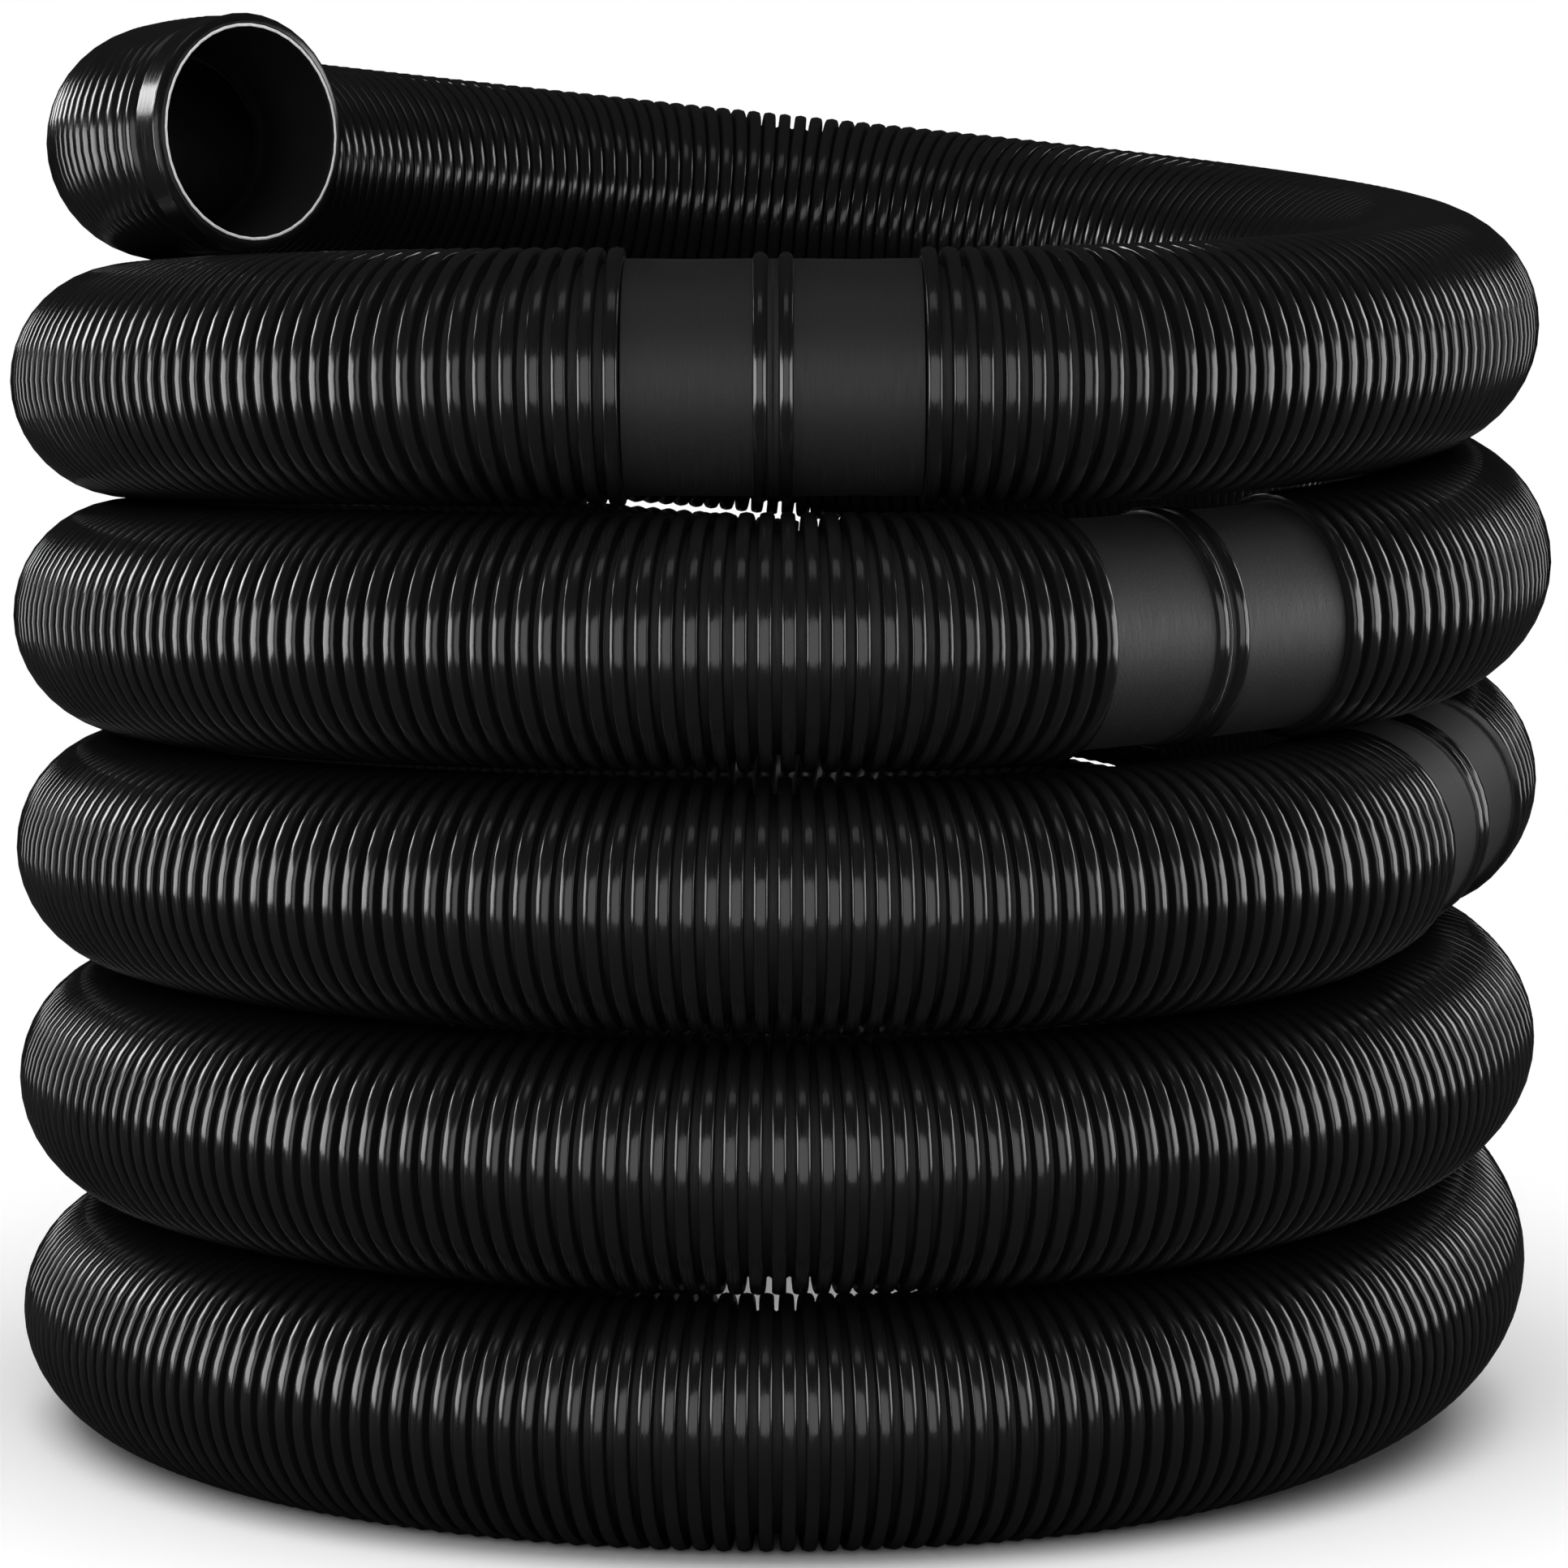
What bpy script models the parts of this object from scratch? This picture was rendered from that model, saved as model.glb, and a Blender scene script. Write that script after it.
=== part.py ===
"""Coiled ribbed drain hose for 38 mm fittings: six sections, end to end, lying as one coil.

Metres, +Z up.  The coil's axis is upright and the origin is at the bottom middle of its box.
The hose is followed from its lower end up to its open end.  An angle is counted in degrees
from the lower end, and an azimuth from +X, counter-clockwise seen from above.
"""
import math

import bmesh
import bpy
import numpy as np
from mathutils import Vector

# ---- the hose ---------------------------------------------------------------------------
SOCKET_BORE = 0.0380        # inside a smooth cuff, which goes over a 38 mm fitting
CUFF_WALL = 0.0006          # of a smooth cuff
BEAD_HEIGHT = 0.0011        # of the bead beside each cut, above its cuff
END_BEAD_HEIGHT = 0.0019    # of the bead at the open end, above its cuff
BORE = 0.0330               # way through the ribbed hose
GROOVE_WALL = 0.0019        # between the bore and the bottom of a groove
RIB_HEIGHT = 0.0031         # of a rib, above the bottom of a groove
BEAD_WIDTH = 0.0022         # of a bead's crest
BEAD_FLANK = 0.0004         # length of a bead's sloping side
CUT_LIP = 0.0010            # smooth lip between a cut face and its bead
HALF_CUFF = 0.0245          # smooth end of a section, from the cut to the first rib
OPEN_CUFF = 0.0105          # smooth end at the open end
CUT_GAP = 0.0003            # between the faces of two sections
SECTION_LENGTH = 0.705      # from cut to cut
END_SECTION_LENGTH = 0.618  # of the first and the last section
SECTIONS = 6
RIBS_PER_METRE = 40.0
RIB_STEP = 0.0005           # length of the step from a cuff up to its first rib
BORE_RING_PITCH = 0.026     # the bore bends in straight pieces of this length
SIDES = 8                   # flats round the hose, one of them facing down

CUFF_OD = SOCKET_BORE + 2 * CUFF_WALL
BEAD_OD = CUFF_OD + 2 * BEAD_HEIGHT
END_BEAD_OD = CUFF_OD + 2 * END_BEAD_HEIGHT
GROOVE_OD = BORE + 2 * GROOVE_WALL
RIB_OD = GROOVE_OD + 2 * RIB_HEIGHT
WIDEST_OD = max(RIB_OD, BEAD_OD, END_BEAD_OD)

# ---- the coil ---------------------------------------------------------------------------
COIL_RADIUS = 0.1229        # from the axis to the middle of the hose
TURN_GAP = 0.0005           # between a turn and the one that lies on it
FLAT_DEPTH = 0.0005         # flat under what stands on the floor
LOWER_END_AZIMUTH = 99.7    # behind the coil
FLOOR_SPAN = 186.5          # angle that lies on the floor before the first climb
CLIMB_SPAN = 224.0          # angle in which a turn climbs onto the one below
CLIMB_LEAD = 1.8            # angle by which each climb starts ahead of the one below it
RIGHT_BULGE = 0.0034        # how far the middle turns stand out at azimuth 0
TUCK_INSET = 0.0010         # how far inward the lower end lies, past half a hose's width
TUCK_SPAN = 90.0            # angle in which the lower end turns inward
TOP_SPAN = 202.0            # last angle at the top, which lies further in
TOP_INSET = 0.0055          # how much further
CURL = 0.0150               # how far inward again the open end goes
CURL_SPAN = 25.0            # angle in which it curls
END_LIFT = 0.0015           # how far the open end springs up
END_LIFT_SPAN = 110.0       # angle in which it rises
BEND_LENGTH = 0.036         # length beside a stiff straight in which the hose bends to it
ROUTE_STEP = 0.25           # angle between two points of the route
MOUTH_OVERRUN = 2           # points that the route runs on past the open end
SETTLING_ROUNDS = 12        # of moving the cuts until each section has its length

TURN_RISE = WIDEST_OD + TURN_GAP
FLOOR_HEIGHT = max(RIB_OD, BEAD_OD) / 2 - FLAT_DEPTH
STRAIGHT_END = WIDEST_OD    # the lower end runs straight for one diameter
STRAIGHT_DRIFT = (STRAIGHT_END + BEND_LENGTH / 2) ** 2 / 2 / (COIL_RADIUS - WIDEST_OD)
TUCK = WIDEST_OD / 2 + TUCK_INSET + STRAIGHT_DRIFT
DOWN_SPAN = 1440.0          # angle from the top of the bulge to its foot, four turns
BULGE_SHIFT = 0.7           # below 1, it moves the widest of the middle turns upward
SHARP_ANGLE = 40.0          # edges sharper than this stay sharp in shading
CHECK_SPACING = 0.002       # between the points on which the least gap is taken


def smooth_step(share):
    """Rise from 0 to 1, level at both ends."""
    share = np.clip(share, 0.0, 1.0)
    return share * share * (3.0 - 2.0 * share)


def coil_points(top_angle, overrun):
    """Points of the plain coil from the lower end, up to overrun points past the open end."""
    angle = ROUTE_STEP * np.arange(int(round(top_angle / ROUTE_STEP)) + 1 + overrun)
    azimuth = np.radians(LOWER_END_AZIMUTH + angle)
    to_top = top_angle - angle

    height = np.full(len(angle), FLOOR_HEIGHT)
    turns = int(top_angle // 360) + 1
    for turn in range(turns):
        start = FLOOR_SPAN + turn * (360.0 - CLIMB_LEAD)
        height += TURN_RISE * smooth_step((angle - start) / CLIMB_SPAN)
    height += END_LIFT * smooth_step(1.0 - to_top / END_LIFT_SPAN)

    way_down = np.clip((to_top - TOP_SPAN) / DOWN_SPAN, 0.0, 1.0) ** BULGE_SHIFT
    radius = COIL_RADIUS + RIGHT_BULGE * np.sin(np.pi * way_down) * (1 + np.cos(azimuth)) / 2
    radius -= TOP_INSET * smooth_step(1.0 - to_top / TOP_SPAN)
    radius -= CURL * np.maximum(1.0 - to_top / CURL_SPAN, 0.0) ** 2
    radius -= TUCK * smooth_step(1.0 - angle / TUCK_SPAN)
    return np.stack([radius * np.cos(azimuth), radius * np.sin(azimuth), height], axis=1)


def length_along(points):
    """Length of the route up to each of its points."""
    steps = np.linalg.norm(np.diff(points, axis=0), axis=1)
    return np.concatenate([[0.0], np.cumsum(steps)])


def lay_straight(points, first, last):
    """Put the points from first to last on one line seen from above; they climb as before."""
    share = np.linspace(0.0, 1.0, last - first + 1)[:, None]
    points[first:last + 1, :2] = points[first, :2] + share * (points[last, :2] - points[first, :2])


def straight_start(points, length, overrun):
    """Make the first stretch straight, and run on by overrun points before its beginning."""
    along = length_along(points)
    last = int(np.searchsorted(along, length))
    heading = points[last] - points[last + 1]
    heading /= np.linalg.norm(heading)
    reach = along[last] + along[1] * np.arange(overrun, 0, -1)
    reach = np.concatenate([reach, along[last] - along[:last]])[:, None]
    return np.concatenate([points[last] + reach * heading, points[last:]])


def wound_route(cut_angles):
    """The finished route, and the length along it at which each cut lies."""
    half_window = int(round(math.degrees(BEND_LENGTH / 2 / COIL_RADIUS) / ROUTE_STEP))
    points = coil_points(cut_angles[-1], half_window)
    along = length_along(points)
    reach = HALF_CUFF + BEND_LENGTH / 2
    for cut in cut_angles[1:-1]:
        middle = along[int(round(cut / ROUTE_STEP))]
        first = int(np.searchsorted(along, middle - reach))
        last = int(np.searchsorted(along, middle + reach))
        lay_straight(points, first, last)
    points = straight_start(points, STRAIGHT_END + BEND_LENGTH / 2, half_window)
    window = np.ones(2 * half_window + 1) / (2 * half_window + 1)
    points = np.stack([np.convolve(line, window, mode="valid") for line in points.T], axis=1)
    points = straight_start(points[::-1], OPEN_CUFF, MOUTH_OVERRUN)[::-1]
    marks = length_along(points)[[int(round(cut / ROUTE_STEP)) for cut in cut_angles]]
    return points, marks


def find_route():
    """Settle the angle of each cut, so that every section has its own length."""
    middle_sections = [SECTION_LENGTH] * (SECTIONS - 2)
    lengths = [END_SECTION_LENGTH, *middle_sections, END_SECTION_LENGTH]
    wanted = np.concatenate([[0.0], np.cumsum(lengths)])
    cut_angles = np.degrees(wanted / COIL_RADIUS)
    for _ in range(SETTLING_ROUNDS):
        points, marks = wound_route(cut_angles)
        cut_angles = cut_angles + np.degrees((wanted - marks) / COIL_RADIUS)
    return points, wanted, cut_angles


def crest_places(start, end):
    """Middles of the ribs between two cuffs."""
    count = int(round((end - start) * RIBS_PER_METRE))
    return np.linspace(start + RIB_STEP, end - RIB_STEP, count)


def cuff_profile(face, inward, cuff, bead_od):
    """Outside of a smooth end, from its cut face to the edge of the first rib."""
    bead = face + inward * CUT_LIP
    crest = bead + inward * BEAD_FLANK
    crest_end = crest + inward * BEAD_WIDTH
    return [(face, CUFF_OD / 2),
            (bead, CUFF_OD / 2),
            (crest, bead_od / 2),
            (crest_end, bead_od / 2),
            (crest_end + inward * BEAD_FLANK, CUFF_OD / 2),
            (face + inward * cuff, CUFF_OD / 2)]


def bore_profile(start, end, start_cuff, end_cuff):
    """Inside from end back to start; each cuff is a socket, a little wider than the bore."""
    low = start + start_cuff + RIB_STEP
    high = end - end_cuff - RIB_STEP
    pieces = int(math.ceil((high - low) / BORE_RING_PITCH))
    bore = [(along, BORE / 2) for along in np.linspace(high, low, pieces + 1)]
    end_socket = [(end, SOCKET_BORE / 2), (high, SOCKET_BORE / 2)]
    start_socket = [(low, SOCKET_BORE / 2), (start, SOCKET_BORE / 2)]
    return end_socket + bore + start_socket


def section_profile(number, start, end):
    """Outside from start to end, then the inside back again: (length along, radius)."""
    is_top = number == SECTIONS - 1
    end_cuff = OPEN_CUFF if is_top else HALF_CUFF
    end_bead = END_BEAD_OD if is_top else BEAD_OD
    first_cuff = cuff_profile(start, 1, HALF_CUFF, BEAD_OD)
    last_cuff = cuff_profile(end, -1, end_cuff, end_bead)
    crests = crest_places(start + HALF_CUFF, end - end_cuff)
    ribs = []
    for crest, following in zip(crests[:-1], crests[1:]):
        ribs.append((crest, RIB_OD / 2))
        ribs.append(((crest + following) / 2, GROOVE_OD / 2))
    ribs.append((crests[-1], RIB_OD / 2))
    return first_cuff + ribs + last_cuff[::-1] + bore_profile(start, end, HALF_CUFF, end_cuff)


def hose_frame(points, along, where):
    """The hose's middle there, and its unit vectors forward, to the side and up."""
    reach = ROUTE_STEP * math.pi / 180 * COIL_RADIUS
    middle, before, after = (np.array([np.interp(where + offset, along, points[:, axis])
                                       for axis in range(3)]) for offset in (0.0, -reach, reach))
    if where - reach < along[0]:
        before = middle * 2 - after
    forward = Vector(after - before).normalized()
    side = forward.cross(Vector((0.0, 0.0, 1.0))).normalized()
    return Vector(middle), forward, side, side.cross(forward)


def ring(points, along, where, radius):
    """Corners of one ring square to the route, with a flat side facing down."""
    middle, _, side, up = hose_frame(points, along, where)
    corner_radius = radius / math.cos(math.pi / SIDES)
    corners = []
    for number in range(SIDES):
        turn = (number + 0.5) * 2 * math.pi / SIDES
        corners.append(middle + corner_radius * (math.cos(turn) * side + math.sin(turn) * up))
    return corners


def ringed_object(name, rings, material):
    """A closed tube wall through all rings, the last of them joined to the first."""
    build = bmesh.new()
    corners = [[build.verts.new(corner) for corner in one] for one in rings]
    for number, one in enumerate(corners):
        following = corners[(number + 1) % len(corners)]
        for side in range(SIDES):
            beside = (side + 1) % SIDES
            build.faces.new((one[side], one[beside], following[beside], following[side]))
    bmesh.ops.recalc_face_normals(build, faces=build.faces)
    mesh = bpy.data.meshes.new(name)
    build.to_mesh(mesh)
    build.free()
    mesh.shade_smooth()
    mesh.set_sharp_from_angle(angle=math.radians(SHARP_ANGLE))
    mesh.materials.append(material)
    section = bpy.data.objects.new(name, mesh)
    bpy.context.collection.objects.link(section)
    return section


def black_plastic():
    material = bpy.data.materials.new("black_hose_plastic")
    material.use_nodes = True
    shader = material.node_tree.nodes["Principled BSDF"]
    shader.inputs["Base Color"].default_value = (0.012, 0.012, 0.013, 1.0)
    shader.inputs["Roughness"].default_value = 0.32
    shader.inputs["Metallic"].default_value = 0.0
    return material


def floor_cutter(width, depth):
    """A block whose top face is the floor."""
    bpy.ops.mesh.primitive_cube_add(size=1.0, location=(0.0, 0.0, -depth / 2))
    block = bpy.context.object
    block.name = "floor_cutter"
    block.scale = (width, width, depth)
    bpy.ops.object.transform_apply(location=False, rotation=False, scale=True)
    block.hide_render = True
    block.display_type = "WIRE"
    return block


def least_gap(points, along):
    """Least gap between two stretches of the hose, taken on points."""
    where = np.arange(0.0, along[-1], CHECK_SPACING)
    spots = np.stack([np.interp(where, along, points[:, axis]) for axis in range(3)], axis=1)
    apart = int(round(3 * WIDEST_OD / CHECK_SPACING))
    least = math.inf
    for number in range(len(spots) - apart):
        distance = np.linalg.norm(spots[number + apart:] - spots[number], axis=1)
        least = min(least, distance.min())
    return least - WIDEST_OD


for old in list(bpy.data.objects):
    bpy.data.objects.remove(old, do_unlink=True)

route, cuts, cut_angles = find_route()
route_length = length_along(route)
plastic = black_plastic()

all_rings = []
for number in range(SECTIONS):
    start = cuts[number] + (CUT_GAP / 2 if number > 0 else 0.0)
    end = cuts[number + 1] - (CUT_GAP / 2 if number < SECTIONS - 1 else 0.0)
    profile = section_profile(number, start, end)
    all_rings.append([ring(route, route_length, where, radius) for where, radius in profile])

corners = np.array([corner for rings in all_rings for one in rings for corner in one])
middle = (corners.min(axis=0) + corners.max(axis=0)) / 2
to_origin = Vector((-middle[0], -middle[1], 0.0))
cutter = floor_cutter(4 * COIL_RADIUS, WIDEST_OD)

for number, rings in enumerate(all_rings):
    rings = [[corner + to_origin for corner in one] for one in rings]
    section = ringed_object(f"hose_section_{SECTIONS - number}", rings, plastic)
    if min(corner.z for one in rings for corner in one) < 0.0:
        cut = section.modifiers.new("floor_flat", "BOOLEAN")
        cut.operation = "DIFFERENCE"
        cut.solver = "EXACT"
        cut.object = cutter

crests = crest_places(cuts[0] + HALF_CUFF, cuts[1] - CUT_GAP / 2 - HALF_CUFF)
resting = [place for place in crests if place < np.radians(FLOOR_SPAN) * COIL_RADIUS]
middle_crest = resting[len(resting) // 2]
rest_point, _, _, _ = hose_frame(route, route_length, middle_crest)
open_end, open_axis, _, _ = hose_frame(route, route_length, cuts[-1])
lower_end, lower_heading, _, _ = hose_frame(route, route_length, cuts[0])
print(f"least gap of the hose to itself: {least_gap(route, route_length) * 1000:.2f} mm")
print("moved to the origin by", [round(value, 5) for value in to_origin])
print("azimuth of each cut:", [round(LOWER_END_AZIMUTH + angle, 1) for angle in cut_angles])
print(f"length of the hose: {cuts[-1]:.3f} m, height {corners[:, 2].max():.4f} m")
print("rests at", [round(value, 5) for value in rest_point + to_origin])
print("open end", [round(value, 5) for value in open_end + to_origin],
      "facing", [round(value, 4) for value in open_axis])
print("lower end", [round(value, 5) for value in lower_end + to_origin],
      "facing", [round(-value, 4) for value in lower_heading])
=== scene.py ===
"""Black ribbed drain hose in six sections, end to end, lying as one upright coil.

Metres, +Z up.  The hose is followed from its lower end, hidden behind the coil, up to its
open end at the top left.  Sizes along and across the hose are real ones.
"""
import math

import bpy
import numpy as np
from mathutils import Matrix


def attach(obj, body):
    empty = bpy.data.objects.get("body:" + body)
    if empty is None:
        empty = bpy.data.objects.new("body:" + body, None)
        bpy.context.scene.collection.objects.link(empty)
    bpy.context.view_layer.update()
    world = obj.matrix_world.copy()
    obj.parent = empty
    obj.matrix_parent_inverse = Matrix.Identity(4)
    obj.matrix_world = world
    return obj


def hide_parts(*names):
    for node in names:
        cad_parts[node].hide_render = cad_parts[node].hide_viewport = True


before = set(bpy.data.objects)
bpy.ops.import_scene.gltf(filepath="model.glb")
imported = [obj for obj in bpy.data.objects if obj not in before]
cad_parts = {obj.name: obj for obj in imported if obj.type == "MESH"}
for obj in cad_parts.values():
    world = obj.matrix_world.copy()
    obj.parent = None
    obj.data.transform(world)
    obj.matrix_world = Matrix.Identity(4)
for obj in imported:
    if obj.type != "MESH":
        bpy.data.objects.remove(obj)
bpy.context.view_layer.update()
bpy.ops.object.select_all(action="DESELECT")


# ---- the camera ---------------------------------------------------------------------------
# It stands in front of the coil, at nearly three quarters of the coil's height, and looks
# slightly down.
CAMERA_PLACE = (-0.00146, -0.86088, 0.18958)
CAMERA_DOWN = math.radians(4.7625)
CAMERA_RIGHT = math.radians(0.124)
SENSOR_WIDTH = 36.0         # in millimetres, as is the lens
LENS = 102.93

camera_data = bpy.data.cameras.new("camera")
camera_data.sensor_width = SENSOR_WIDTH
camera_data.lens = LENS
camera = bpy.data.objects.new("camera", camera_data)
camera.location = CAMERA_PLACE
camera.rotation_euler = (math.pi / 2 - CAMERA_DOWN, 0.0, -CAMERA_RIGHT)
bpy.context.scene.collection.objects.link(camera)
bpy.context.scene.camera = camera


# ---- the hose's way through the coil --------------------------------------------------------
# Five and a quarter turns of a springy hose lie on each other by their own weight.  The smooth
# cuffs don't bend, so the hose runs straight through them and bends harder beside them.
RIB_OD = 0.0430             # outside of a rib, the widest of the hose
HALF_CUFF = 0.0245          # smooth end of a section, from the cut to the first rib
OPEN_CUFF = 0.0105          # how far the open end runs straight
CUT_GAP = 0.00005           # between the faces of two sections
SECTION_LENGTH = 0.705      # from cut to cut
END_SECTION_LENGTH = 0.618  # of the first and the last section
SECTIONS = 6

COIL_RADIUS = 0.1229        # from the axis to the middle of the hose
TURN_GAP = 0.0005           # between turns that lie on each other
TURN_RISE = RIB_OD + TURN_GAP
FLOOR_SETTLE = 0.0005       # how far the lowest ribs give way under the coil's weight
FLOOR_HEIGHT = RIB_OD / 2 - FLOOR_SETTLE
LOWER_END_AZIMUTH = 99.7    # behind the coil, in degrees from +X
FLOOR_SPAN = 186.5          # angle that lies on the floor before the first climb
CLIMB_SPAN = 224.0          # angle in which a turn climbs onto the one below
CLIMB_LEAD = 1.8            # angle by which each climb starts ahead of the one below it
RIGHT_BULGE = 0.0034        # how far the middle turns stand out at azimuth 0
DOWN_SPAN = 1440.0          # angle from the top of the bulge to its foot, four turns
BULGE_SHIFT = 0.7           # below 1, it moves the widest of the middle turns upward
TOP_SPAN = 202.0            # last angle at the top, which lies further in
TOP_INSET = 0.0055          # how much further
CURL = 0.0150               # how far inward again the open end goes
CURL_SPAN = 25.0            # angle in which it curls
END_LIFT = 0.0015           # how far the open end springs up
END_LIFT_SPAN = 110.0       # angle in which it rises
BEND_LENGTH = 0.036         # length beside a stiff straight in which the hose bends to it
STRAIGHT_END = RIB_OD       # the lower end runs straight for one diameter
# how far that straight strays outward from the turn that it leaves
STRAIGHT_DRIFT = (STRAIGHT_END + BEND_LENGTH / 2) ** 2 / 2 / (COIL_RADIUS - RIB_OD)
TUCK_INSET = 0.0010         # how far inward the lower end lies, past half a hose's width
TUCK = RIB_OD / 2 + TUCK_INSET + STRAIGHT_DRIFT
TUCK_SPAN = 90.0            # angle in which the lower end turns inward
ROUTE_STEP = 0.25           # angle between two points of the route
MOUTH_OVERRUN = 2           # points that the route runs on past the open end
SETTLING_ROUNDS = 12        # of moving the cuts until each section has its length


def smooth_step(share):
    """Rise from 0 to 1, level at both ends."""
    share = np.clip(share, 0.0, 1.0)
    return share * share * (3.0 - 2.0 * share)


def coil_points(top_angle, overrun):
    """Points of the plain coil from the lower end, up to overrun points past the open end."""
    angle = ROUTE_STEP * np.arange(int(round(top_angle / ROUTE_STEP)) + 1 + overrun)
    azimuth = np.radians(LOWER_END_AZIMUTH + angle)
    to_top = top_angle - angle

    height = np.full(len(angle), FLOOR_HEIGHT)
    turns = int(top_angle // 360) + 1
    for turn in range(turns):
        start = FLOOR_SPAN + turn * (360.0 - CLIMB_LEAD)
        height += TURN_RISE * smooth_step((angle - start) / CLIMB_SPAN)
    height += END_LIFT * smooth_step(1.0 - to_top / END_LIFT_SPAN)

    way_down = np.clip((to_top - TOP_SPAN) / DOWN_SPAN, 0.0, 1.0) ** BULGE_SHIFT
    radius = COIL_RADIUS + RIGHT_BULGE * np.sin(np.pi * way_down) * (1 + np.cos(azimuth)) / 2
    radius -= TOP_INSET * smooth_step(1.0 - to_top / TOP_SPAN)
    radius -= CURL * np.maximum(1.0 - to_top / CURL_SPAN, 0.0) ** 2
    radius -= TUCK * smooth_step(1.0 - angle / TUCK_SPAN)
    return np.stack([radius * np.cos(azimuth), radius * np.sin(azimuth), height], axis=1)


def length_along(points):
    """Length of the route up to each of its points."""
    steps = np.linalg.norm(np.diff(points, axis=0), axis=1)
    return np.concatenate([[0.0], np.cumsum(steps)])


def lay_straight(points, first, last):
    """Put the points from first to last on one line seen from above; they climb as before."""
    share = np.linspace(0.0, 1.0, last - first + 1)[:, None]
    reach = points[last, :2] - points[first, :2]
    points[first:last + 1, :2] = points[first, :2] + share * reach


def straight_start(points, length, overrun):
    """Make the first stretch straight, and run on by overrun points before its beginning."""
    along = length_along(points)
    last = int(np.searchsorted(along, length))
    heading = points[last] - points[last + 1]
    heading /= np.linalg.norm(heading)
    reach = along[last] + along[1] * np.arange(overrun, 0, -1)
    reach = np.concatenate([reach, along[last] - along[:last]])[:, None]
    return np.concatenate([points[last] + reach * heading, points[last:]])


def wound_route(cut_angles):
    """The finished route, and the length along it at which each cut lies."""
    half_window = int(round(math.degrees(BEND_LENGTH / 2 / COIL_RADIUS) / ROUTE_STEP))
    points = coil_points(cut_angles[-1], half_window)
    along = length_along(points)
    reach = HALF_CUFF + BEND_LENGTH / 2
    for cut in cut_angles[1:-1]:
        middle = along[int(round(cut / ROUTE_STEP))]
        first = int(np.searchsorted(along, middle - reach))
        last = int(np.searchsorted(along, middle + reach))
        lay_straight(points, first, last)
    points = straight_start(points, STRAIGHT_END + BEND_LENGTH / 2, half_window)
    window_points = 2 * half_window + 1
    window = np.ones(window_points) / window_points
    points = np.stack([np.convolve(line, window, mode="valid") for line in points.T], axis=1)
    points = straight_start(points[::-1], OPEN_CUFF, MOUTH_OVERRUN)[::-1]
    marks = length_along(points)[[int(round(cut / ROUTE_STEP)) for cut in cut_angles]]
    return points, marks


def find_route():
    """Settle the angle of each cut, so that every section has its own length."""
    middle_sections = [SECTION_LENGTH] * (SECTIONS - 2)
    lengths = [END_SECTION_LENGTH, *middle_sections, END_SECTION_LENGTH]
    wanted = np.concatenate([[0.0], np.cumsum(lengths)])
    cut_angles = np.degrees(wanted / COIL_RADIUS)
    for _ in range(SETTLING_ROUNDS):
        points, marks = wound_route(cut_angles)
        cut_angles = cut_angles + np.degrees((wanted - marks) / COIL_RADIUS)
    return points, wanted


route, cuts = find_route()
route[:, :2] -= (route[:, :2].min(axis=0) + route[:, :2].max(axis=0)) / 2
route_length = length_along(route)


# ---- the hose sections ----------------------------------------------------------------------
# Each is blow-moulded black plastic: a thin wall with ring-shaped ribs, and at both ends a
# smooth cuff with a moulded bead beside the cut.  It goes over a 38 mm fitting.
SOCKET_BORE = 0.0380        # inside a smooth cuff
CUFF_OD = 0.0392
CUFF_WAIST = 0.00012        # how far the middle of a cuff draws in
BEAD_OD = 0.0414
BEAD_WIDTH = 0.0022
BEAD_SLOPE = math.radians(36.0)     # of a bead's bevelled sides
BEAD_CREST = 0.0009         # from a bead's side to its flat crest
BEAD_ROUND = 0.0006         # rounding between bevel and crest
BEAD_STEPS = 3              # rings of each rounding
CUT_LIP = 0.0010            # smooth lip between a cut face and its bead
EDGE_ROUND = 0.00012        # rounding of a cut wall's edges
OPEN_EDGE_ROUND = 0.00004   # the same at the open end, where it is sharper

# The open end, each length from its cut face: a moulded rim, a smooth collar, a groove, and
# fine shallow ribs over the socket.
RIM_OD = 0.0430
RIM_LIP = 0.00025           # from the face to the foot of the rim
# points of the foot, each a length and a height over the cuff, and then of the crest, each a
# length and a drop below its highest
RIM_FOOT = [(RIM_LIP, 0.0001), (RIM_LIP + 0.00005, 0.0004)]
RIM_CREST = [(0.0006, 0.0005), (0.0008, 0.0001), (0.0011, 0.0), (0.0014, 0.0001)]
COLLAR_OD = 0.0425
COLLAR_START = 0.0017
COLLAR_END = 0.0068
COLLAR_EDGE = 0.0003        # bevel at its end; rings this far apart keep the rest flat
COLLAR_SLANT = 0.0002       # from that bevel down to the groove
COLLAR_GROOVE_OD = 0.0406
FINE_START = 0.0079
FINE_END = 0.0385
FINE_FOOT = 0.0003          # from the groove up to the first fine rib
FINE_PITCH = 0.00235
FINE_DEPTH = 0.0007
FINE_FULLNESS = 0.7         # below 1, it makes a fine rib's crest broad and its groove narrow
FINE_STEPS = 8              # rings of a fine rib
END_SOCKET = 0.0330         # depth of the socket at the open end
THROAT_STEPS = 8            # rings in which it narrows behind the socket

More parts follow.
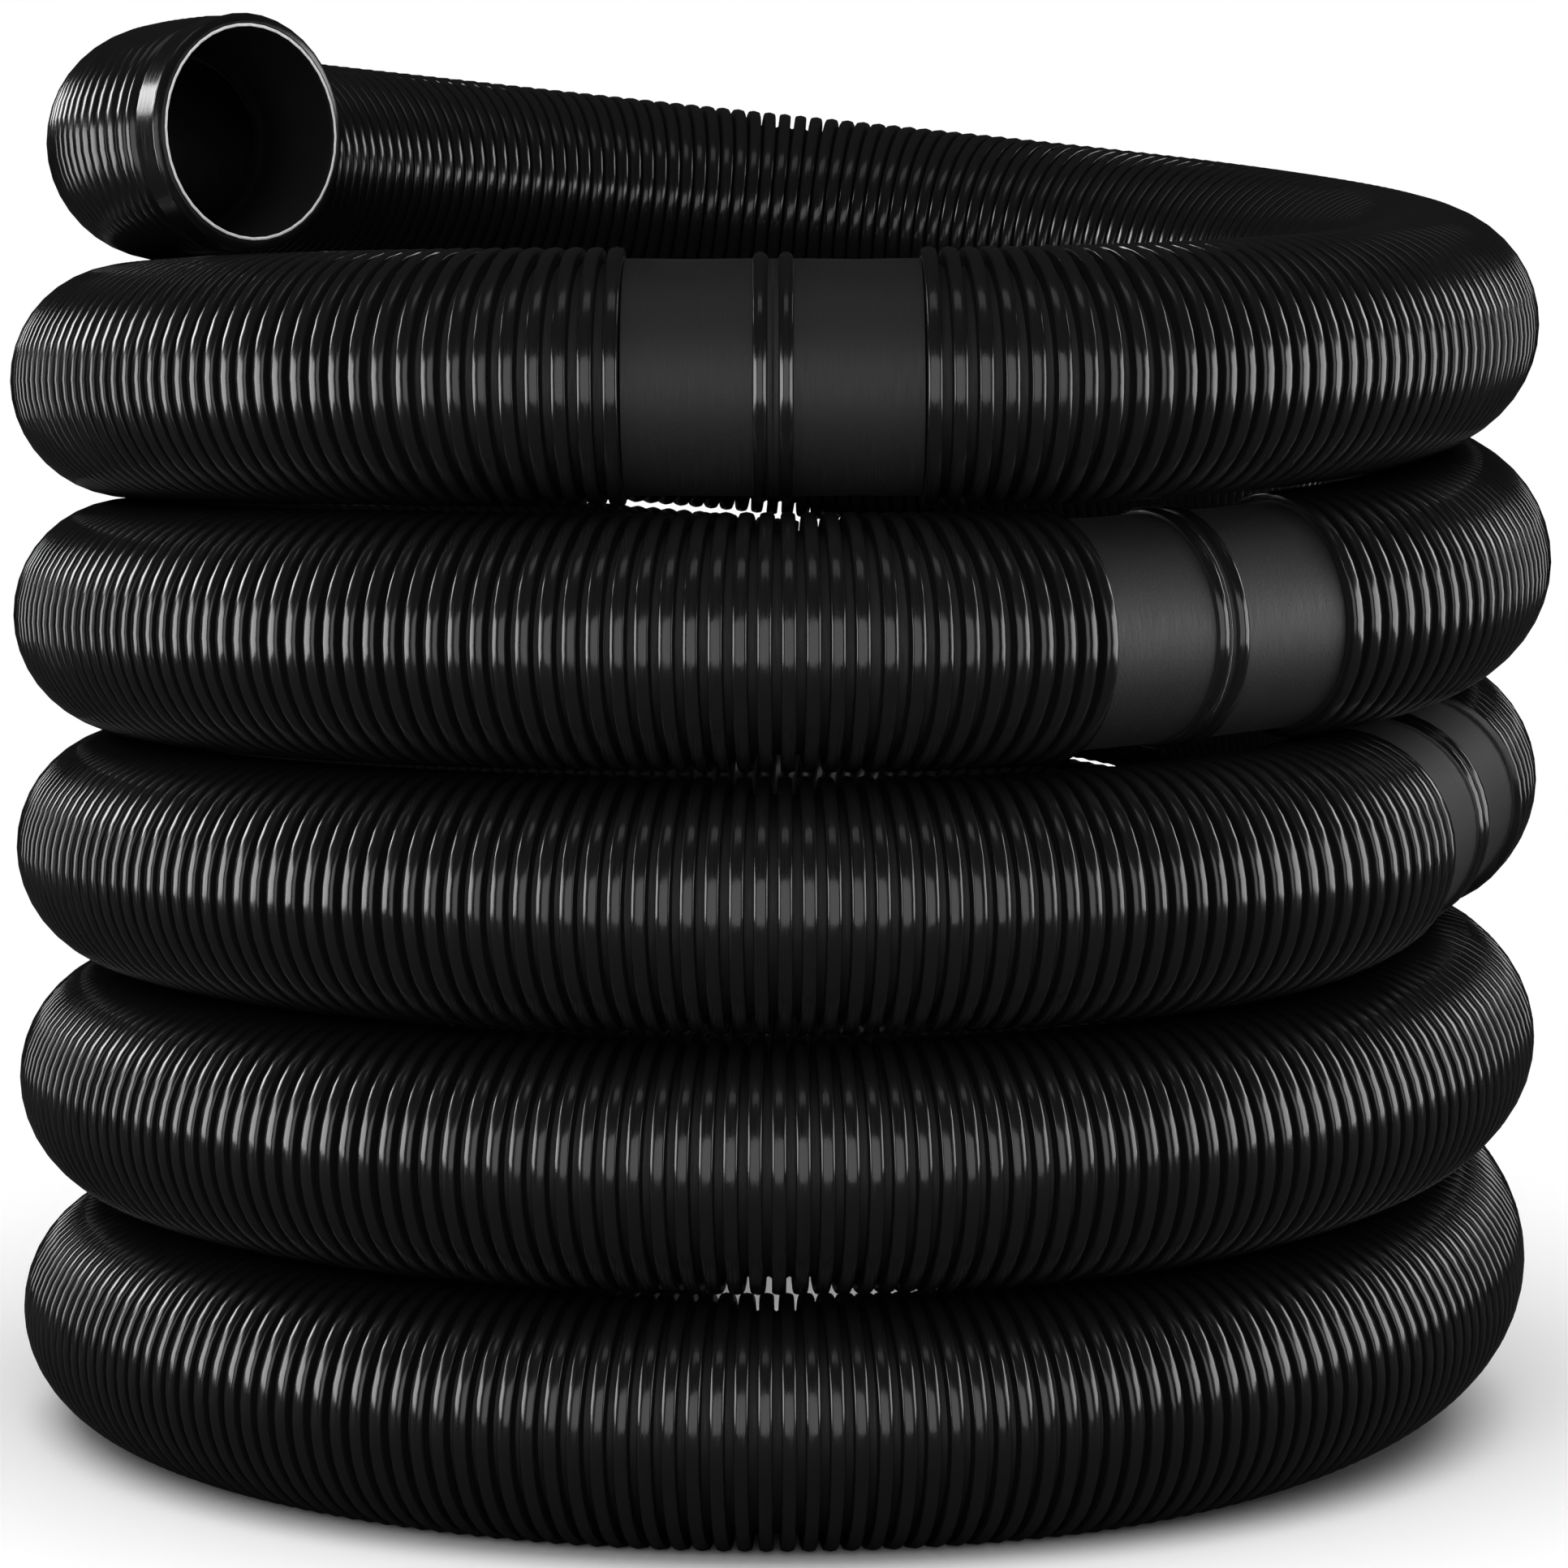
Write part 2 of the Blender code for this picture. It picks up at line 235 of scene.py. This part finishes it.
RIB_PITCH = 0.0034
RIB_HALF_WIDTH = 0.0012
RIB_CREST = 0.00066         # half width of a rib's gently arched crest
CREST_ARCH = 0.00013        # how far the crest's edges lie below its middle
RIB_SHOULDER = 0.00042      # height of the rounding between crest and flank
ROUND_MIDDLE = 1 - math.sqrt(0.5)   # where a rounding's middle lies, as a share of its size
GROOVE_OD = 0.0368
FOOT_RISE = 0.00030         # height of the fillet at a rib's foot
INNER_GROOVE_OD = 0.0354    # inside, under a groove
INNER_RIB_OD = 0.0406       # inside, under a rib
CLOSED_SHARE = 0.44         # ribs are never wider than this share of their pitch, each way
FLOOR_CLEARANCE = 0.00002   # the lowest ribs flatten this far above the floor
CUFF_SOCKET_STEPS = 2       # rings of the inner wall of a straight cuff
AROUND = 40                 # corners of a ring
SHARP_EDGE = math.radians(60.0)     # edges that turn more than this shade as edges

ring_turn = np.arange(AROUND) * 2 * math.pi / AROUND


def hose_frames(where):
    """The hose's middle at each length, and its unit vectors forward, to the side and up."""
    reach = math.radians(ROUTE_STEP) * COIL_RADIUS

    def spot(lengths):
        inside = np.stack([np.interp(lengths, route_length, line) for line in route.T], axis=1)
        before = np.minimum(lengths, 0.0)[:, None]
        return inside + before * (route[1] - route[0]) / route_length[1]

    middle = spot(where)
    forward = spot(where + reach) - spot(where - reach)
    forward /= np.linalg.norm(forward, axis=1)[:, None]
    side = np.cross(forward, (0.0, 0.0, 1.0))
    side /= np.linalg.norm(side, axis=1)[:, None]
    return middle, forward, side, np.cross(side, forward)


def rib_places(first_foot, last_foot):
    """Middles of the ribs between two smooth ends."""
    first = first_foot + RIB_HALF_WIDTH
    last = last_foot - RIB_HALF_WIDTH
    return np.linspace(first, last, int(round((last - first) / RIB_PITCH)) + 1)


def cuff_outside(face, inward):
    """Rings of a smooth end, from its cut face to the first rib: place, offset, radius."""
    cuff = CUFF_OD / 2
    bead = BEAD_OD / 2
    near = CUT_LIP
    far = CUT_LIP + BEAD_WIDTH
    middle = (far + HALF_CUFF) / 2
    turns = np.linspace(BEAD_SLOPE, 0.0, BEAD_STEPS)
    crest = [(BEAD_CREST - BEAD_ROUND * math.sin(turn), bead - BEAD_ROUND * (1 - math.cos(turn)))
             for turn in turns]
    foot = crest[0][1] - (crest[0][0] - EDGE_ROUND) * math.tan(BEAD_SLOPE)
    rise = [(0.0, foot - EDGE_ROUND), (EDGE_ROUND, foot), *crest]
    outline = [(0.0, cuff - EDGE_ROUND),
               (EDGE_ROUND, cuff),
               (near - EDGE_ROUND, cuff)]
    outline += [(near + along, radius) for along, radius in rise]
    outline += [(far - along, radius) for along, radius in rise[::-1]]
    outline += [(far + EDGE_ROUND, cuff),
                (middle, cuff - CUFF_WAIST),
                (HALF_CUFF - EDGE_ROUND, cuff)]
    return [(face + inward * along, 0.0, radius) for along, radius in outline]


def open_end_outside(face):
    """Rings of the open end: cut wall, rim, smooth collar and fine ribs, from the face back."""
    cuff = CUFF_OD / 2
    rim = RIM_OD / 2
    collar = COLLAR_OD / 2
    groove = COLLAR_GROOVE_OD / 2
    outline = [(0.0, cuff - OPEN_EDGE_ROUND), (OPEN_EDGE_ROUND, cuff)]
    outline += [(along, cuff + rise) for along, rise in RIM_FOOT]
    outline += [(along, rim - drop) for along, drop in RIM_CREST]
    outline += [(COLLAR_START, collar),
                (COLLAR_START + COLLAR_EDGE, collar),
                (COLLAR_END - 2 * COLLAR_EDGE, collar),
                (COLLAR_END - COLLAR_EDGE, collar),
                (COLLAR_END, collar - COLLAR_EDGE),
                (COLLAR_END + COLLAR_SLANT, groove),
                (FINE_START - FINE_FOOT, groove)]
    ribs = int(round((FINE_END - FINE_START) / FINE_PITCH))
    for step in range(ribs * FINE_STEPS + 1):
        share = step % FINE_STEPS / FINE_STEPS
        depth = FINE_DEPTH * (1 - math.sin(math.pi * share) ** FINE_FULLNESS)
        outline.append((FINE_START + step * FINE_PITCH / FINE_STEPS, rim - depth))
    return [(face - along, 0.0, radius) for along, radius in outline]


def rib_outside(ribs, number):
    """Rings of one rib, foot to foot, and of the groove after it."""
    rib = ribs[number]
    crest = RIB_OD / 2
    edge = crest - CREST_ARCH
    foot = GROOVE_OD / 2 + FOOT_RISE
    slant = (RIB_HALF_WIDTH - RIB_CREST) * ROUND_MIDDLE
    half = [(RIB_HALF_WIDTH, foot),
            (RIB_HALF_WIDTH, edge - RIB_SHOULDER),
            (RIB_HALF_WIDTH - slant, edge - RIB_SHOULDER * ROUND_MIDDLE),
            (RIB_CREST, edge)]
    rings = [(rib, -offset, radius) for offset, radius in half]
    rings.append((rib, 0.0, crest))
    rings += [(rib, offset, radius) for offset, radius in half[::-1]]
    if number < len(ribs) - 1:
        rings.append(((rib + ribs[number + 1]) / 2, 0.0, GROOVE_OD / 2))
    return rings


def ribbed_inside(ribs, first, last):
    """Rings of the inner wall between two smooth ends, from last back to first."""
    groove = INNER_GROOVE_OD / 2
    inner = []
    for number in range(len(ribs) - 1):
        inner.append((ribs[number], 0.0, INNER_RIB_OD / 2))
        inner.append(((ribs[number] + ribs[number + 1]) / 2, 0.0, groove))
    inner.append((ribs[-1], 0.0, INNER_RIB_OD / 2))
    inner = [ring for ring in inner if first + RIB_HALF_WIDTH < ring[0] < last - RIB_HALF_WIDTH]
    return [(last, 0.0, groove), *inner[::-1], (first, 0.0, groove)]


def throat_inside(face):
    """Rings of the smooth throat that narrows behind the open end's socket."""
    shares = np.arange(1, THROAT_STEPS) / THROAT_STEPS
    drops = smooth_step(shares) * (SOCKET_BORE - INNER_GROOVE_OD) / 2
    return [(face - END_SOCKET - share * (FINE_END - END_SOCKET), 0.0, SOCKET_BORE / 2 - drop)
            for share, drop in zip(shares, drops)]


def socket_inside(face, inward, depth, steps, edge):
    """Rings of a smooth socket, from its cut face to its bottom."""
    lengths = [edge, *np.linspace(CUT_LIP, depth, steps)]
    rings = [(face, 0.0, SOCKET_BORE / 2 + edge)]
    return rings + [(face + inward * along, 0.0, SOCKET_BORE / 2) for along in lengths]


def section_rings(number, start, end):
    """Rings of a section: those outside from start to end, and those inside back again."""
    is_top = number == SECTIONS - 1
    first_foot = start + HALF_CUFF
    last_foot = end - (FINE_END if is_top else HALF_CUFF)
    ribs = rib_places(first_foot, last_foot)
    outside = cuff_outside(start, 1)
    for rib in range(len(ribs)):
        outside += rib_outside(ribs, rib)
    end_outside = open_end_outside(end) if is_top else cuff_outside(end, -1)
    outside += end_outside[::-1]

    end_socket = END_SOCKET if is_top else HALF_CUFF
    end_steps = int(round(end_socket / RIB_PITCH))
    end_edge = OPEN_EDGE_ROUND if is_top else EDGE_ROUND
    inside = socket_inside(end, -1, end_socket, end_steps, end_edge)
    inside += throat_inside(end) if is_top else []
    inside += ribbed_inside(ribs, first_foot, last_foot)
    inside += socket_inside(start, 1, HALF_CUFF, CUFF_SOCKET_STEPS, EDGE_ROUND)[::-1]
    return outside, inside


def ring_corners(rings):
    """Corners of every ring, and their places on the hose as if it lay straight.

    A rib keeps its width, but is narrower where ribs crowd on the inside of the bend.
    """
    where, offset, radius = np.array(rings).T
    middle, forward, side, up = hose_frames(where)
    outward = (np.cos(ring_turn)[None, :, None] * side[:, None, :]
               + np.sin(ring_turn)[None, :, None] * up[:, None, :])
    next_forward = hose_frames(where + RIB_PITCH / 2)[1]
    last_forward = hose_frames(where - RIB_PITCH / 2)[1]
    lean = np.einsum("rk,rck->rc", next_forward - last_forward, outward)
    local_pitch = RIB_PITCH - RIB_OD / 2 * lean
    room = np.clip(CLOSED_SHARE * local_pitch / RIB_HALF_WIDTH, 0.0, 1.0)
    corners = middle[:, None, :] + radius[:, None, None] * outward
    corners += (offset[:, None] * room)[:, :, None] * forward[:, None, :]
    corners[:, :, 2] = np.maximum(corners[:, :, 2], FLOOR_CLEARANCE)
    straight = np.stack([np.broadcast_to((where + offset)[:, None], lean.shape),
                         radius[:, None] * np.cos(ring_turn)[None, :],
                         radius[:, None] * np.sin(ring_turn)[None, :]], axis=2)
    return corners, straight


def section_mesh(name, outside, inside, materials):
    """A closed thin-walled tube through all rings, the last of them joined to the first."""
    corners, straight = ring_corners(outside + inside)
    count = len(corners)
    first = np.arange(count)[:, None] * AROUND + np.arange(AROUND)[None, :]
    beside = np.roll(first, -1, axis=1)
    following = np.roll(first, -1, axis=0)
    across = np.roll(beside, -1, axis=0)
    faces = np.stack([first, beside, across, following], axis=2).reshape(-1, 4)
    mesh = bpy.data.meshes.new(name)
    mesh.from_pydata(corners.reshape(-1, 3).tolist(), [], faces.tolist())
    mesh.update()
    place = mesh.attributes.new("hose_place", "FLOAT_VECTOR", "POINT")
    place.data.foreach_set("vector", straight.reshape(-1).astype(np.float32))
    for material in materials:
        mesh.materials.append(material)
    cut_faces = np.zeros(count, dtype=np.int32)
    cut_faces[len(outside) - 1] = 1
    cut_faces[count - 1] = 1
    mesh.polygons.foreach_set("material_index", np.repeat(cut_faces, AROUND))
    mesh.shade_smooth()
    mesh.set_sharp_from_angle(angle=SHARP_EDGE)
    section = bpy.data.objects.new(name, mesh)
    bpy.context.scene.collection.objects.link(section)
    return section


HOSE_BLACK = (0.0045, 0.0045, 0.005, 1.0)
HOSE_IOR = 1.5
SKIN_RADII = (0.0197, 0.0201)       # cuffs lie inside the first, ribs' crests past the second
SKIN_ROUGHNESS = (0.58, 0.17)       # of cuffs and of ribs
MARK_SCALE = (6500.0, 160.0, 160.0)     # drag marks, narrow along the hose and long round it
MARK_DETAIL = 2.0
MARK_RANGE = (0.3, 0.7)             # of the noise that draws them
MARK_ROUGHNESS = (-0.07, 0.09)      # what they add to the skin's roughness
MARK_DEPTH = 0.00003
MARK_STRENGTH = 0.12
GRAIN_SCALE = 2000.0                # grain of half a millimetre
GRAIN_DETAIL = 1.0
GRAIN_DEPTH = 0.00004
GRAIN_STRENGTH = (1.0, 0.12)        # on cuffs and on ribs
# pale greys of the cut wall: a painted highlight that makes its edge a bright ring at the open
# end
CUT_HIGHLIGHT_GREYS = ((0.45, 0.45, 0.45, 1.0), (0.80, 0.80, 0.81, 1.0))
CUT_ROUGHNESS = 0.45
SAW_SCALE = 900.0                   # marks of the saw on a cut wall
SAW_DETAIL = 3.0


def speckle(nodes, links, place, scale, detail):
    """Soft random specks, from 0 to 1, at a place."""
    specks = nodes.new("ShaderNodeTexNoise")
    specks.inputs["Scale"].default_value = scale
    specks.inputs["Detail"].default_value = detail
    links.new(place, specks.inputs["Vector"])
    return specks.outputs["Fac"]


def graded(nodes, links, value, value_range, result_range):
    """A result that goes from one end of its range to the other as the value does."""
    grade = nodes.new("ShaderNodeMapRange")
    grade.inputs["From Min"].default_value, grade.inputs["From Max"].default_value = value_range
    grade.inputs["To Min"].default_value, grade.inputs["To Max"].default_value = result_range
    links.new(value, grade.inputs["Value"])
    return grade.outputs["Result"]


def hose_plastic():
    """Black plastic, glossy on ribs and beads and dull and grained on the smooth cuffs."""
    material = bpy.data.materials.new("black_hose_plastic")
    material.use_nodes = True
    nodes = material.node_tree.nodes
    links = material.node_tree.links
    shader = nodes["Principled BSDF"]
    shader.inputs["Base Color"].default_value = HOSE_BLACK
    shader.inputs["IOR"].default_value = HOSE_IOR

    place = nodes.new("ShaderNodeAttribute")
    place.attribute_name = "hose_place"
    stretch = nodes.new("ShaderNodeMapping")
    stretch.inputs["Scale"].default_value = MARK_SCALE
    links.new(place.outputs["Vector"], stretch.inputs["Vector"])
    marks = speckle(nodes, links, stretch.outputs["Vector"], 1.0, MARK_DETAIL)
    object_place = nodes.new("ShaderNodeTexCoord")
    grain = speckle(nodes, links, object_place.outputs["Object"], GRAIN_SCALE, GRAIN_DETAIL)

    across = nodes.new("ShaderNodeVectorMath")
    across.operation = "MULTIPLY"
    across.inputs[1].default_value = (0.0, 1.0, 1.0)
    links.new(place.outputs["Vector"], across.inputs[0])
    radius = nodes.new("ShaderNodeVectorMath")
    radius.operation = "LENGTH"
    links.new(across.outputs["Vector"], radius.inputs[0])
    polish = graded(nodes, links, radius.outputs["Value"], SKIN_RADII, SKIN_ROUGHNESS)
    streaks = graded(nodes, links, marks, MARK_RANGE, MARK_ROUGHNESS)
    rough = nodes.new("ShaderNodeMath")
    rough.operation = "ADD"
    links.new(polish, rough.inputs[0])
    links.new(streaks, rough.inputs[1])
    links.new(rough.outputs["Value"], shader.inputs["Roughness"])

    drag = nodes.new("ShaderNodeBump")
    drag.inputs["Distance"].default_value = MARK_DEPTH
    drag.inputs["Strength"].default_value = MARK_STRENGTH
    links.new(marks, drag.inputs["Height"])
    pebble = nodes.new("ShaderNodeBump")
    pebble.inputs["Distance"].default_value = GRAIN_DEPTH
    links.new(grain, pebble.inputs["Height"])
    depth = graded(nodes, links, radius.outputs["Value"], SKIN_RADII, GRAIN_STRENGTH)
    links.new(depth, pebble.inputs["Strength"])
    links.new(drag.outputs["Normal"], pebble.inputs["Normal"])
    links.new(pebble.outputs["Normal"], shader.inputs["Normal"])
    return material


def cut_plastic_painted_highlight():
    """The sawn wall at a section's end, marked by the saw; it is paler than the moulded skin by
    a painted highlight, which makes the wall's edge a bright ring at the open end.
    """
    material = bpy.data.materials.new("cut_hose_plastic_painted_highlight")
    material.use_nodes = True
    nodes = material.node_tree.nodes
    links = material.node_tree.links
    shader = nodes["Principled BSDF"]
    shader.inputs["Roughness"].default_value = CUT_ROUGHNESS
    object_place = nodes.new("ShaderNodeTexCoord")
    saw = speckle(nodes, links, object_place.outputs["Object"], SAW_SCALE, SAW_DETAIL)
    shade = nodes.new("ShaderNodeValToRGB")
    for element, grey in zip(shade.color_ramp.elements, CUT_HIGHLIGHT_GREYS):
        element.color = grey
    links.new(saw, shade.inputs["Fac"])
    links.new(shade.outputs["Color"], shader.inputs["Base Color"])
    return material


PATH_STEP = 0.004

hose_materials = [hose_plastic(), cut_plastic_painted_highlight()]
for number in range(SECTIONS):
    start = cuts[number] + (CUT_GAP / 2 if number > 0 else 0.0)
    end = cuts[number + 1] - (CUT_GAP / 2 if number < SECTIONS - 1 else 0.0)
    name = f"hose_section_{SECTIONS - number}"
    outside, inside = section_rings(number, start, end)
    section = section_mesh("ribbed_" + name, outside, inside, hose_materials)
    path, *_ = hose_frames(np.linspace(start, end, int((end - start) / PATH_STEP)))
    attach(section, "root")
    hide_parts(name)


# ---- the floor and the light ----------------------------------------------------------------
# A pale floor runs into a white studio wall.  Two wide lights, overhead and in front, show on
# the floor alone.  The bright lines on the ribs come from soft boxes at both sides, low down
# and high up behind, and from dim ones in front.
FLOOR_SIZE = 12.0
FLOOR_MIDDLE = (0.0, 0.06, 0.0)     # of the part of the floor that keeps its own shade
FLOOR_FADE = (0.20, 0.31)           # distances from it in which the floor turns to the wall
FLOOR_SHADE = (0.86, 0.03)          # of its paint, and of its reflection in the hose
FLOOR_ROUGHNESS = 0.9
FLOOR_SPECULAR = 0.2
WALL_WHITE = (1.0, 1.0, 1.0, 1.0)
WALL_STRENGTH = (0.015, 1.0)        # as light on the hose, and as the camera sees it

bpy.ops.mesh.primitive_plane_add(size=FLOOR_SIZE)
floor = bpy.context.object
floor.name = "floor"
floor_material = bpy.data.materials.new("floor_paint")
floor_material.use_nodes = True
nodes = floor_material.node_tree.nodes
links = floor_material.node_tree.links
rays = nodes.new("ShaderNodeLightPath")
paint = nodes["Principled BSDF"]
paint.inputs["Roughness"].default_value = FLOOR_ROUGHNESS
paint.inputs["Specular IOR Level"].default_value = FLOOR_SPECULAR
shade = graded(nodes, links, rays.outputs["Is Glossy Ray"], (0.0, 1.0), FLOOR_SHADE)
links.new(shade, paint.inputs["Base Color"])
glow = nodes.new("ShaderNodeEmission")
place = nodes.new("ShaderNodeTexCoord")
distance = nodes.new("ShaderNodeVectorMath")
distance.operation = "DISTANCE"
distance.inputs[1].default_value = FLOOR_MIDDLE
links.new(place.outputs["Object"], distance.inputs[0])
fade = graded(nodes, links, distance.outputs["Value"], FLOOR_FADE, (0.0, 1.0))
fade.node.interpolation_type = "SMOOTHSTEP"
seen = nodes.new("ShaderNodeMath")
seen.operation = "MULTIPLY"
links.new(rays.outputs["Is Camera Ray"], seen.inputs[0])
links.new(fade, seen.inputs[1])
mix = nodes.new("ShaderNodeMixShader")
links.new(seen.outputs["Value"], mix.inputs["Fac"])
links.new(paint.outputs["BSDF"], mix.inputs[1])
links.new(glow.outputs["Emission"], mix.inputs[2])
links.new(mix.outputs["Shader"], nodes["Material Output"].inputs["Surface"])
floor.data.materials.append(floor_material)


def soft_box(name, place, aim, width, height, brightness):
    """A rectangular light at place that faces aim, equally bright seen from anywhere."""
    lamp = bpy.data.lights.new(name, "AREA")
    lamp.shape = "RECTANGLE"
    lamp.size = width
    lamp.size_y = height
    lamp.energy = brightness * math.pi * width * height
    box = bpy.data.objects.new(name, lamp)
    box.location = place
    direction = np.array(aim) - np.array(place)
    tilt = math.atan2(direction[2], math.hypot(direction[0], direction[1]))
    box.rotation_euler = (math.pi / 2 + tilt, 0.0, math.atan2(-direction[0], direction[1]))
    box.visible_camera = False
    bpy.context.scene.collection.objects.link(box)
    return box


HOSE_MIDDLE = (0.0, 0.0, 0.14)
STRIP_HEIGHT = 0.175        # of the middles of the low boxes

hose_lights = [
    soft_box("front_strip", place=(0.0, -0.52, STRIP_HEIGHT), aim=(0.0, 0.0, STRIP_HEIGHT),
             width=0.60, height=0.29, brightness=1.7),
    soft_box("left_strip", place=(-0.45, -0.24, STRIP_HEIGHT), aim=(0.0, -0.24, STRIP_HEIGHT),
             width=0.36, height=0.23, brightness=6.8),
    soft_box("right_strip", place=(0.45, -0.18, STRIP_HEIGHT), aim=(0.0, -0.18, STRIP_HEIGHT),
             width=0.38, height=0.23, brightness=5.0),
    soft_box("left_high_box", place=(-0.79, 0.243, 0.50), aim=(-0.1, -0.05, 0.22),
             width=0.36, height=0.22, brightness=10.5),
    soft_box("right_high_box", place=(0.79, 0.243, 0.50), aim=(0.1, -0.05, 0.22),
             width=0.36, height=0.22, brightness=5.5),
    soft_box("top_front_box", place=(0.0, -0.50, 1.30), aim=HOSE_MIDDLE,
             width=0.9, height=0.35, brightness=0.7)]
for light in hose_lights:
    light.visible_diffuse = False
floor_lights = [
    soft_box("overhead_box", place=(0.0, -0.20, 1.50), aim=(0.0, -0.19, 0.0),
             width=2.6, height=2.6, brightness=2.6),
    soft_box("fill_box", place=(-0.15, -1.50, 0.70), aim=HOSE_MIDDLE,
             width=1.6, height=0.9, brightness=3.0)]
for light in floor_lights:
    light.visible_glossy = False

world = bpy.data.worlds.new("studio")
bpy.context.scene.world = world
world.use_nodes = True
nodes = world.node_tree.nodes
links = world.node_tree.links
background = nodes["Background"]
background.inputs["Color"].default_value = WALL_WHITE
rays = nodes.new("ShaderNodeLightPath")
strength = graded(nodes, links, rays.outputs["Is Camera Ray"], (0.0, 1.0), WALL_STRENGTH)
links.new(strength, background.inputs["Strength"])

bpy.context.scene.view_settings.view_transform = "Standard"
